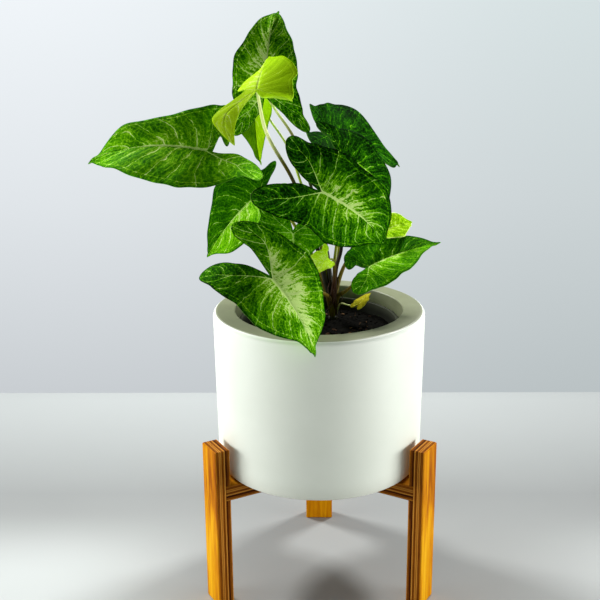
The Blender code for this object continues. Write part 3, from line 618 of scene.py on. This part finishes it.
def stage_finish():
    """Pale paper: a floor that glows far from the pot, and a self-lit sheet beyond its edge."""
    f = Finish("pale_paper", Roughness=0.85, Specular_IOR_Level=0.1, Emission_Strength=1.0)
    place = f.from_pot()
    x, y = f.split(place)[:2]
    radius = (x * x + y * y) ** 0.5
    # Floor, with painted shade a little behind the pot and painted light in front of it at both
    # sides
    floor = f.ramp(y * -1.4 + 0.5, (0.0, paint(182, 187, 186)), (0.32, paint(143, 146, 145)),
                   (0.52, paint(160, 162, 160)), (0.66, paint(174, 176, 172)))
    # Painted light: paler floor in front of the pot at both sides
    painted_side_light = f.rise(abs(x - 0.05), 0.08, 0.28) * f.rise(y * -1.0, -0.10, 0.02)
    floor = f.mix(painted_side_light * 0.85, floor, paint(205, 210, 208))
    floor = f.mix(f.cloud(place, 5.0, 3.0) * 0.08, floor, paint(226, 228, 230))
    # Sheet, paler with distance and towards the left
    away = (y + CAMERA_BACK).held(0.4, 100.0)
    deep = 1.0 - (CAMERA_BACK + SHEET_EDGE) / away
    left = f.ramp(deep, (0.0, paint(199, 204, 208)), (0.5, paint(224, 229, 233)),
                  (1.0, paint(240, 245, 249)))
    right = f.ramp(deep, (0.0, paint(184, 192, 194)), (0.5, paint(203, 211, 213)),
                   (1.0, paint(213, 224, 225)))
    sheet = f.mix(f.rise(x / away, -0.30, 0.32), left, right)
    beyond = f.rise(y, SHEET_EDGE - 0.6 * MM, SHEET_EDGE + 0.6 * MM)
    f.wear("Base Color", f.mix(beyond, floor, paint(8, 8, 8)))
    lit = f.mix(f.rise(radius, GLOW_FROM, GLOW_FULL), (0.0, 0.0, 0.0, 1.0), paint(206, 210, 211))
    f.wear("Emission Color", f.mix(beyond, lit, sheet))
    return f.material


# Pieces

def placed(name, bm, *materials):
    """Object of a bmesh that was shaped about the pot's axis, moved into the frame."""
    mesh = bpy.data.meshes.new(name)
    bm.to_mesh(mesh)
    bm.free()
    mesh.transform(Matrix.Translation(POT_AXIS))
    for material in materials:
        mesh.materials.append(material)
    obj = bpy.data.objects.new(name, mesh)
    bpy.context.scene.collection.objects.link(obj)
    return obj


def piece(name, bm, *materials, smooth=True, stands_for=()):
    """Piece that rides on the body, in place of the CAD nodes that it stands for."""
    obj = placed(name, bm, *materials)
    if smooth:
        obj.data.shade_smooth()
    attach(obj, "root")
    if stands_for:
        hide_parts(*stands_for)
    return obj


def rounding(radius, z, bend, start, end, steps):
    """Points of a profile's rounding about a middle, from one angle to another, in degrees."""
    angles = [math.radians(start + (end - start) * k / steps) for k in range(steps + 1)]
    return [(radius + bend * math.cos(angle), z + bend * math.sin(angle)) for angle in angles]


def turned(name, profile, steps, finish, node):
    """Piece spun from a profile of (radius, z) points, in mm, about the pot's axis."""
    bm = bmesh.new()
    verts = [bm.verts.new((r * MM, 0.0, z * MM)) for r, z in profile]
    for a, b in zip(verts, verts[1:]):
        bm.edges.new((a, b))
    bmesh.ops.spin(bm, geom=bm.verts[:] + bm.edges[:], cent=(0.0, 0.0, 0.0), axis=(0.0, 0.0, 1.0),
                   angle=2.0 * math.pi, steps=steps, use_merge=True)
    bmesh.ops.remove_doubles(bm, verts=bm.verts, dist=1e-6)
    bmesh.ops.recalc_face_normals(bm, faces=bm.faces)
    obj = piece(name, bm, finish, stands_for=(node,))
    obj.data.set_sharp_from_angle(angle=math.radians(SHARP_FROM))


def outer_pot():
    """Pot with a broad flat lip that turns down inside as a skirt."""
    inside = POT_SIDE_RADIUS - POT_WALL
    skirt = LIP_INNER_RADIUS + SKIRT_THICKNESS
    bottom = POT_TOP - SKIRT_DEPTH
    side_start = POT_BOTTOM + POT_SIDE_START
    profile = [(0.0, POT_BOTTOM), (POT_FOOT_RADIUS * 0.6, POT_BOTTOM)]
    profile += rounding(POT_FOOT_RADIUS, POT_BOTTOM + POT_FOOT_ROUND, POT_FOOT_ROUND, -90, -15, 9)
    low = profile[-1]
    profile += [(low[0] + (POT_SIDE_RADIUS - low[0]) * out, low[1] + (side_start - low[1]) * up)
                for up, out in FOOT_CURVE]
    profile += [(POT_SIDE_RADIUS, side_start)] + POT_SIDE
    profile += rounding(POT_RADIUS - POT_SHOULDER, POT_TOP - POT_SHOULDER, POT_SHOULDER, 0, 90, 12)
    profile += rounding(LIP_INNER_RADIUS + LIP_EDGE, POT_TOP - LIP_EDGE, LIP_EDGE, 90, 180, 6)
    profile += rounding(LIP_INNER_RADIUS + SKIRT_ROUND, bottom + SKIRT_ROUND, SKIRT_ROUND,
                        180, 270, 4)
    profile += rounding(skirt - SKIRT_ROUND, bottom + SKIRT_ROUND, SKIRT_ROUND, 270, 360, 4)
    profile += [(skirt, POT_TOP - LIP_THICKNESS), (inside, POT_TOP - LIP_THICKNESS),
                (inside - POT_INNER_TAPER, POT_BOTTOM + POT_FLOOR), (0.0, POT_BOTTOM + POT_FLOOR)]
    turned("glazed_pot", profile, POT_STEPS, glaze_finish(), "outer_pot")


def grow_pot():
    """Nursery pot with a thin tapering wall and a rolled rim."""
    lip = GROW_TOP - GROW_LIP
    slope = (GROW_WALL_RADIUS - GROW_BASE_RADIUS) / (GROW_TOP - GROW_BOTTOM)
    wall = GROW_BASE_RADIUS + slope * (lip - GROW_BOTTOM)
    mouth = GROW_WALL_RADIUS - GROW_WALL
    floor = GROW_BOTTOM + GROW_WALL
    profile = [(0.0, GROW_BOTTOM), (GROW_BASE_RADIUS, GROW_BOTTOM), (wall, lip)]
    for radius, z, bend, start, steps in (
            (GROW_RIM_RADIUS - GROW_LIP_ROUND, lip + GROW_LIP_ROUND, GROW_LIP_ROUND, -90, 3),
            (GROW_RIM_RADIUS - GROW_RIM_ROUND, GROW_TOP - GROW_RIM_ROUND, GROW_RIM_ROUND, 0, 5),
            (mouth + GROW_MOUTH_ROUND, GROW_TOP - GROW_MOUTH_ROUND, GROW_MOUTH_ROUND, 90, 4)):
        profile += rounding(radius, z, bend, start, start + 90, steps)
    profile += [(GROW_BASE_RADIUS - GROW_WALL, floor), (0.0, floor)]
    turned("nursery_pot", profile, GROW_STEPS, grow_finish(), "grow_pot")


def soil_height(x, y):
    """Height of the soil at a place."""
    out = min(1.0, math.hypot(x, y) / SOIL_RADIUS)
    lump = noise.fractal(Vector((x * 0.11, y * 0.11, 3.0)), 0.9, 2.1, 5)
    crumb = noise.noise(Vector((x * 0.75, y * 0.75, 9.0)))
    from_crown = (x - CROWN.x) ** 2 + (y - CROWN.y) ** 2
    heap = SOIL_HEAP * math.exp(-from_crown / SOIL_HEAP_SPREAD)
    mound = SOIL_MOUND * (1.0 - out ** 2)
    return SOIL_TOP + mound + heap + SOIL_LUMP * lump + SOIL_CRUMB * crumb


def soil():
    """Loose filling, lumpy on top."""
    bm = bmesh.new()
    bmesh.ops.create_grid(bm, x_segments=SOIL_GRID, y_segments=SOIL_GRID, size=1.0)
    for v in bm.verts:
        x = v.co.x * math.sqrt(1.0 - v.co.y ** 2 / 2.0) * SOIL_RADIUS
        y = v.co.y * math.sqrt(1.0 - v.co.x ** 2 / 2.0) * SOIL_RADIUS
        v.co = Vector((x, y, min(soil_height(x, y), SOIL_CEILING))) * MM
    filling = piece("soil_filling", bm, soil_finish(), stands_for=("soil",))
    depth = filling.modifiers.new("depth", "SOLIDIFY")
    depth.thickness = SOIL_DEPTH * MM
    depth.offset = -1.0


def scatter(name, finish, count, low, high, stretch):
    """Small irregular bits strewn on the soil, each turned its own way."""
    rng = np.random.default_rng(len(name))
    bm = bmesh.new()
    for _ in range(count):
        out, angle = SOIL_RADIUS * 0.97 * math.sqrt(rng.random()), 2.0 * math.pi * rng.random()
        x, y = out * math.cos(angle), out * math.sin(angle)
        size = low + (high - low) * rng.random() ** 2
        long = 1.0 + stretch * rng.random()
        turn = Matrix.Rotation(2.0 * math.pi * rng.random(), 4, "Z")
        turn = turn @ Matrix.Rotation(0.7 * rng.random() - 0.35, 4, "Y")
        z = min(soil_height(x, y) + size * 0.15, BITS_CEILING - size * 0.8)
        place = Matrix.Translation(Vector((x, y, z)) * MM) @ turn
        place = place @ Matrix.Diagonal((long, 0.75 + 0.3 * rng.random(), 0.6, 1.0))
        made = bmesh.ops.create_icosphere(bm, subdivisions=1, radius=size * MM, matrix=place)
        for v in made["verts"]:
            v.co += Vector(rng.random(3) - 0.5) * (size * 0.35 * MM)
    piece(name, bm, finish, smooth=False)


def arc(share, start, bend):
    """Positions along and across an arc of unit length that begins at an angle."""
    bend = np.where(np.abs(bend) < LEAST_BEND, LEAST_BEND, bend)
    along = (np.sin(start + bend * share) - np.sin(start)) / bend
    across = (np.cos(start) - np.cos(start + bend * share)) / bend
    return along, across


def smooth_curve(points, u):
    """Smooth curve through points, u from 0 to the number of spans."""
    points = np.asarray(points, float)
    spans = len(points) - 1
    padded = np.vstack([2 * points[0] - points[1], points, 2 * points[-1] - points[-2]])
    i = np.clip(np.floor(u).astype(int), 0, spans - 1)
    t = (u - i)[:, None]
    a, b, c, d = padded[i], padded[i + 1], padded[i + 2], padded[i + 3]
    cubic = (3 * b - a - 3 * c + d) * t ** 3
    return 0.5 * (2 * b + (c - a) * t + (2 * a - 5 * b + 4 * c - d) * t ** 2 + cubic)


def margin(half, length, s):
    """Flat outline of a half blade: s is -1 at the sinus, 0 at the waist and 1 at the tip."""
    landmarks = [
        (SINUS_AT * length, 0.0),
        (-LOBE_MIDDLE * half.lobe, half.inner),
        (-half.lobe, half.out),
        (-LOBE_MIDDLE * half.lobe, half.flank),
        (WAIST_AT * length, half.waist),
        (BELLY_AT * length, half.belly),
        (FORE_AT * length, half.fore),
        (POINT_AT * length, POINT_SHARE * half.fore),
        (length, 0.0),
    ]
    curve = smooth_curve(landmarks, (s + 1.0) * (len(landmarks) - 1) / 2.0)
    around = np.clip((s - LOBE_AT) / BLUNT_SPAN, -1.0, 1.0)
    blunt = BLUNT if half.lobe < LONG_LOBE * half.waist else LONG_BLUNT
    curve[:, 1] += blunt * (half.flank - half.inner) * np.sin(math.pi * around)
    calm = np.clip((1.0 - np.abs(s)) / RIPPLE_FADE, 0.0, 1.0)
    calm = calm * np.clip((s - RIPPLE_FROM) / RIPPLE_RISE, 0.0, 1.0)
    ripple = np.sin(RIPPLE_TURNS * s + half.lobe)
    ripple = ripple + 0.6 * np.sin(1.7 * RIPPLE_TURNS * s + half.belly)
    curve[:, 1] += RIPPLE * length * calm * ripple
    return curve


def ribs(half, length, s):
    """Flat line that the side veins leave: the lobe's rib for s below 0, the midrib above."""
    center = (-LOBE_MIDDLE * half.lobe, (half.inner + half.flank) / 2.0)
    reach = RIB_SHARE * (1.0 - np.abs(2.0 * np.clip(s, -1.0, 0.0) + 1.0))
    lobe_rib = smooth_curve([(0.0, 0.0), center, (-half.lobe, half.out)], 2.0 * reach)
    midrib = np.stack([length * np.clip(s, 0.0, 1.0) ** VEIN_LEAN, np.zeros_like(s)], 1)
    return np.where((s > 0.0)[:, None], midrib, lobe_rib)


def leaf_frame(leaf):
    """Heading, left side and upper normal where the blade meets its stalk."""
    azimuth, elevation, roll = np.radians([leaf.azimuth, leaf.elevation, leaf.roll])
    level = np.array([math.cos(azimuth), math.sin(azimuth), 0.0])
    vertical = np.array([0.0, 0.0, 1.0])
    heading = level * math.cos(elevation) + vertical * math.sin(elevation)
    upward = vertical * math.cos(elevation) - level * math.sin(elevation)
    left = np.cross(upward, heading)
    side = left * math.cos(roll) + upward * math.sin(roll)
    normal = upward * math.cos(roll) - left * math.sin(roll)
    return heading, side, normal


def flat_half(leaf, half, s, t):
    """Points of a half blade laid flat; t is 0 at its rib and 1 at its margin."""
    root = ribs(half, leaf.length, s)
    return root + (margin(half, leaf.length, s) - root) * t[:, None]


def half_blade(leaf, sign, s, t):
    """Points of a half blade's middle surface; sign is 1 for the left half, -1 for the right."""
    half = leaf.left if sign > 0 else leaf.right
    x, y = flat_half(leaf, half, s, t).T
    reach = np.where(x >= 0, leaf.length, half.lobe)
    bend = np.where(x >= 0, -math.radians(leaf.droop), math.radians(half.upturn))
    along, rise = arc(x / reach, 0.0, bend)
    slope = bend * x / reach
    outward, lift = arc(y / CURL_SPAN, math.radians(half.fold), math.radians(half.curl))
    fade = np.clip((1.0 - np.abs(s)) / WAVE_FADE, 0.0, 1.0)
    wave = np.sin(2.0 * math.pi * WAVE_TURNS * s + leaf.at[0])
    wave = WAVE_SHARE * leaf.length * fade * t ** 2 * wave
    lift = lift * CURL_SPAN + wave
    outward = sign * outward * CURL_SPAN
    twist = math.radians(leaf.twist) * x / leaf.length
    across = outward * np.cos(twist) - lift * np.sin(twist)
    up = outward * np.sin(twist) + lift * np.cos(twist)
    heading, side, normal = leaf_frame(leaf)
    forward = along * reach - up * np.sin(slope)
    height = rise * reach + up * np.cos(slope)
    place = forward[:, None] * heading + height[:, None] * normal + across[:, None] * side
    return place + np.array(leaf.at, float)


def relief(leaf, s, t):
    """How far the skin stands out: puckered between the side veins and sunk along the midrib."""
    turn = max(-1.0, min(1.0, VEIN_TURN * s * (s - LOBE_AT)))
    count = (s - VEIN_BEND * turn * t * t) / VEIN_SPACING
    near = abs(count - round(count)) * 2.0
    calm = min(1.0, t * 5.0) * min(1.0, (1.0 - t) * 6.0) * min(1.0, (1.0 - abs(s)) * 6.0)
    pucker = PUCKER * leaf.length / PUCKER_LENGTH * (near * (2.0 - near) - 0.5) * calm
    groove = GROOVE * max(0.0, 1.0 - t / GROOVE_WIDTH) * min(1.0, (1.0 - abs(s)) * 5.0)
    return pucker - groove


def blade(name, leaf, look):
    """Blade of two half grids, bent to shape and joined along the midrib."""
    bm = bmesh.new()
    blade_map, flat_map = (bm.loops.layers.uv.new(layer) for layer in ("blade", "flat"))
    along, out = (bm.verts.layers.float.new(layer) for layer in ("along", "out"))
    for sign, half in ((1, leaf.left), (-1, leaf.right)):
        made = bmesh.ops.create_grid(bm, x_segments=LEAF_SPANS, y_segments=LEAF_ROWS, size=0.5)
        verts = made["verts"]
        grid = np.array([v.co for v in verts])
        s = np.round(grid[:, 0] * 2.0 * LEAF_SPANS) / LEAF_SPANS
        t = np.round((grid[:, 1] + 0.5) * LEAF_ROWS) / LEAF_ROWS
        flat = flat_half(leaf, half, s, t)
        # Both halves share the left one's points at the sinus
        points = np.where((s == -1.0)[:, None], half_blade(leaf, 1, s, t),
                          half_blade(leaf, sign, s, t))
        faces = list({face for v in verts for face in v.link_faces})
        where = {v: k for k, v in enumerate(verts)}
        for face in faces:
            for loop in face.loops:
                k = where[loop.vert]
                loop[blade_map].uv = (s[k] * 0.5 + 0.5, 0.5 + 0.5 * sign * t[k])
                loop[flat_map].uv = flat[k] * (1.0, sign) / leaf.length
        for k, v in enumerate(verts):
            v[along], v[out] = s[k], t[k]
            v.co = Vector(points[k]) * MM
        if sign < 0:
            bmesh.ops.reverse_faces(bm, faces=faces)
    bmesh.ops.remove_doubles(bm, verts=bm.verts, dist=0.04 * MM)
    bm.normal_update()
    lifts = [v.normal * relief(leaf, v[along], v[out]) * MM for v in bm.verts]
    for v, lift in zip(bm.verts, lifts):
        v.co += lift
    obj = piece(name + "_blade", bm, blade_finish(name, look, False),
                blade_finish(name, look, True), stands_for=(name,))
    wall = obj.modifiers.new("thickness", "SOLIDIFY")
    wall.thickness = BLADE * MM
    wall.offset = 0.0
    wall.material_offset = 1
    wall.material_offset_rim = 1


FOOT, OLIVE, FRESH = paint(46, 18, 10), paint(98, 84, 14), paint(160, 180, 44)
PALE, DEEP_SHADE = paint(232, 240, 160), paint(16, 13, 4)
# Colours of a stalk, evenly from the crown to the blade; most have the plain ones. The
# near-black colour is painted shade, where a stalk passes under the leaves
PLAIN_STALK = (FOOT, OLIVE, OLIVE, FRESH)
STALK_COLOURS = {
    "leaf_top": (FOOT, DEEP_SHADE, DEEP_SHADE, DEEP_SHADE, OLIVE, PALE, FRESH),
    "leaf_hanging": (FOOT, OLIVE, FRESH, FRESH, PALE, FRESH),
    "leaf_young": (FOOT, OLIVE, DEEP_SHADE, DEEP_SHADE, DEEP_SHADE, DEEP_SHADE, DEEP_SHADE, DEEP_SHADE, OLIVE, PALE, PALE, PALE),
    "leaf_centre": (FOOT, FOOT, DEEP_SHADE, OLIVE, FRESH),
    "leaf_upper": (FOOT, OLIVE, FRESH, PALE),
    "leaf_back": (FOOT, OLIVE, FRESH, PALE),
    "leaf_lime": (FOOT, FOOT, OLIVE, FRESH),
    "leaf_left": (FOOT, OLIVE, FRESH, FRESH),
    "leaf_dry": (FOOT, PALE, PALE),
}
# Thin roots that hang at the crown: points and radius
ROOTLETS = (
    ([(9, 12, 243), (7, 9, 236), (9, 7, 228), (8, 9, 221), (9, 10, 211)], 0.45),
    ([(13, 14, 247), (15, 10, 240), (13, 7, 231), (14, 8, 222), (13, 9, 211)], 0.40),
    ([(10, 13, 238), (12, 9, 231), (10, 6, 224), (5, 5, 219), (2, 4, 212)], 0.35),
    ([(16, 15, 232), (18, 11, 228), (16, 9, 221), (19, 8, 214)], 0.35),
)


def tube(bm, path, radii, colours, sides):
    """Add a closed tube along points to a bmesh: a rolled grid with two caps."""
    map_along = bm.loops.layers.uv["along"]
    tint = bm.verts.layers.float_color["tint"]
    spans = len(path) - 1
    verts = bmesh.ops.create_grid(bm, x_segments=spans, y_segments=sides, size=0.5)["verts"]
    frames, side = [], np.array([1.0, 0.0, 0.0])
    for k in range(spans + 1):
        ahead = path[min(k + 1, spans)] - path[max(k - 1, 0)]
        ahead = ahead / np.linalg.norm(ahead)
        side = side - ahead * side.dot(ahead)
        side = side / np.linalg.norm(side)
        frames.append((side, np.cross(ahead, side)))
    scale = np.linspace(0.0, 1.0, len(colours))
    shades = np.array(colours)
    keys = {}
    for v in verts:
        i, j = keys[v] = round((v.co.x + 0.5) * spans), round((v.co.y + 0.5) * sides)
        angle = 2.0 * math.pi * j / sides
        first, second = frames[i]
        point = path[i] + (first * math.cos(angle) + second * math.sin(angle)) * radii[i]
        v.co = Vector(point) * MM
        v[tint] = [np.interp(i / spans, scale, shades[:, c]) for c in range(4)]
    for face in {face for v in verts for face in v.link_faces}:
        for loop in face.loops:
            i, j = keys[loop.vert]
            loop[map_along].uv = (i / spans, j / sides)
    for end in (0, spans):
        ring = sorted((key[1], v) for v, key in keys.items() if key[0] == end and key[1] < sides)
        cap = bm.faces.new([v for _, v in ring])
        for loop in cap.loops:
            loop[map_along].uv = (end / spans, 0.5)


def stalk_end(plan, leaf):
    """Where a stalk ends, close under its blade."""
    normal = leaf_frame(leaf)[2]
    at = np.array(leaf.at, float)
    arrive = at - np.array(plan.way[-1], float)
    arrive /= np.linalg.norm(arrive)
    tilt = math.sqrt(max(0.0, 1.0 - arrive.dot(normal) ** 2))
    return tuple(at - normal * (BLADE / 2.0 + STALK_GAP + plan.end * tilt))


def stalks():
    """All leaf stalks with the crown they grow from, and a few thin roots."""
    bm = bmesh.new()
    bm.loops.layers.uv.new("along")
    bm.verts.layers.float_color.new("tint")
    share = np.linspace(0.0, 1.0, STALK_SPANS + 1)
    sheath = 1.0 + SHEATH * np.exp(-((share - SHEATH_AT) / SHEATH_SPREAD) ** 2)
    slim = 1.0 - SLIMMER * np.clip((share - SLIM_FROM) / SLIM_OVER, 0.0, 1.0)
    for name, plan in STALKS.items():
        route = [(CROWN.x, CROWN.y, STALK_START)] + plan.way + [stalk_end(plan, LEAVES[name])]
        path = smooth_curve(route, share * (len(route) - 1))
        radii = (plan.foot + (plan.end - plan.foot) * share) * sheath * slim
        tube(bm, path, radii, STALK_COLOURS.get(name, PLAIN_STALK), STALK_SIDES)
    share = np.linspace(0.0, 1.0, ROOT_SPANS + 1)
    # Rootlets fade to near black: painted shade under the leaves
    for points, radius in ROOTLETS:
        path = smooth_curve(points, share * (len(points) - 1))
        tube(bm, path, radius * (1.0 - 0.5 * share), (FOOT, DEEP_SHADE), ROOT_SIDES)
    # The crown, near black: painted shade under the leaves
    path = np.array([(CROWN.x, CROWN.y, z) for z, _ in CROWN_SHAPE])
    tube(bm, path, [radius for _, radius in CROWN_SHAPE], (DEEP_SHADE, DEEP_SHADE), CROWN_SIDES)
    bmesh.ops.remove_doubles(bm, verts=bm.verts, dist=0.01 * MM)
    bmesh.ops.recalc_face_normals(bm, faces=bm.faces)
    piece("leaf_stalks", bm, stalk_finish(), stands_for=("stems",))


def stage():
    """Broad sheet of paper under the stand and behind the plant."""
    bm = bmesh.new()
    bmesh.ops.create_grid(bm, x_segments=STAGE_SQUARES, y_segments=STAGE_SQUARES, size=STAGE_REACH)
    paper = placed("paper_floor", bm, stage_finish())


def lights():
    """Two low broad soft lights at the sides, two small ones up behind, and an even room."""
    for name, (place, aim, size, power) in SOFT_LIGHTS.items():
        light = bpy.data.lights.new(name, "AREA")
        light.shape = "RECTANGLE"
        light.size, light.size_y = size
        light.energy = power
        obj = bpy.data.objects.new(name, light)
        bpy.context.scene.collection.objects.link(obj)
        obj.location = Vector(place) + POT_AXIS
        obj.rotation_euler = (Vector(aim) - Vector(place)).to_track_quat("-Z", "Y").to_euler()
    world = bpy.data.worlds.new("even_room")
    world.use_nodes = True
    tree = world.node_tree
    room = tree.nodes["Background"]
    room.inputs["Color"].default_value = ROOM_COLOUR
    seen = tree.nodes.new("ShaderNodeLightPath")
    level = tree.nodes.new("ShaderNodeMapRange")
    level.inputs["To Min"].default_value = ROOM_LIGHT
    level.inputs["To Max"].default_value = ROOM_SEEN
    tree.links.new(seen.outputs["Is Camera Ray"], level.inputs["Value"])
    tree.links.new(level.outputs["Result"], room.inputs["Strength"])
    bpy.context.scene.world = world


def camera():
    """Camera where the photograph was taken from."""
    yaw, pitch, roll = CAMERA_YAW, CAMERA_PITCH, CAMERA_ROLL
    ahead = Vector((math.sin(yaw) * math.cos(pitch), math.cos(yaw) * math.cos(pitch),
                    -math.sin(pitch)))
    level = Vector((math.cos(yaw), -math.sin(yaw), 0.0))
    upward = level.cross(ahead)
    right = level * math.cos(roll) + upward * math.sin(roll)
    top = upward * math.cos(roll) - level * math.sin(roll)
    data = bpy.data.cameras.new("viewer")
    data.lens, data.sensor_width = CAMERA_LENS, CAMERA_SENSOR
    data.sensor_fit = "HORIZONTAL"
    data.clip_start = CAMERA_NEAR
    obj = bpy.data.objects.new("viewer", data)
    turn = Matrix((right, top, -ahead)).transposed().to_4x4()
    place = Vector(CAMERA_AT) * MM + POT_AXIS
    obj.matrix_world = Matrix.Translation(place) @ turn
    bpy.context.scene.collection.objects.link(obj)
    bpy.context.scene.camera = obj


def dress(node, finish):
    """Give a CAD node its material."""
    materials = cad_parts[node].data.materials
    materials.clear()
    materials.append(finish)


def main():
    """The plant, its pots and its stand, then the stage, the lights and the camera."""
    bpy.context.scene.view_settings.view_transform = "Standard"
    outer_pot()
    grow_pot()
    soil()
    scatter("soil_crumbs", soil_finish(), *CRUMBS)
    scatter("bark_chips", chip_finish(), *CHIPS)
    for node, azimuth in LEG_AZIMUTHS.items():
        dress(node, plywood_finish("plywood_" + node, math.radians(azimuth)))
    dress("stand_arms", plywood_finish("plywood_arms"))
    stalks()
    for name, leaf in LEAVES.items():
        blade(name, leaf, LOOKS[name])
    stage()
    lights()
    camera()


main()
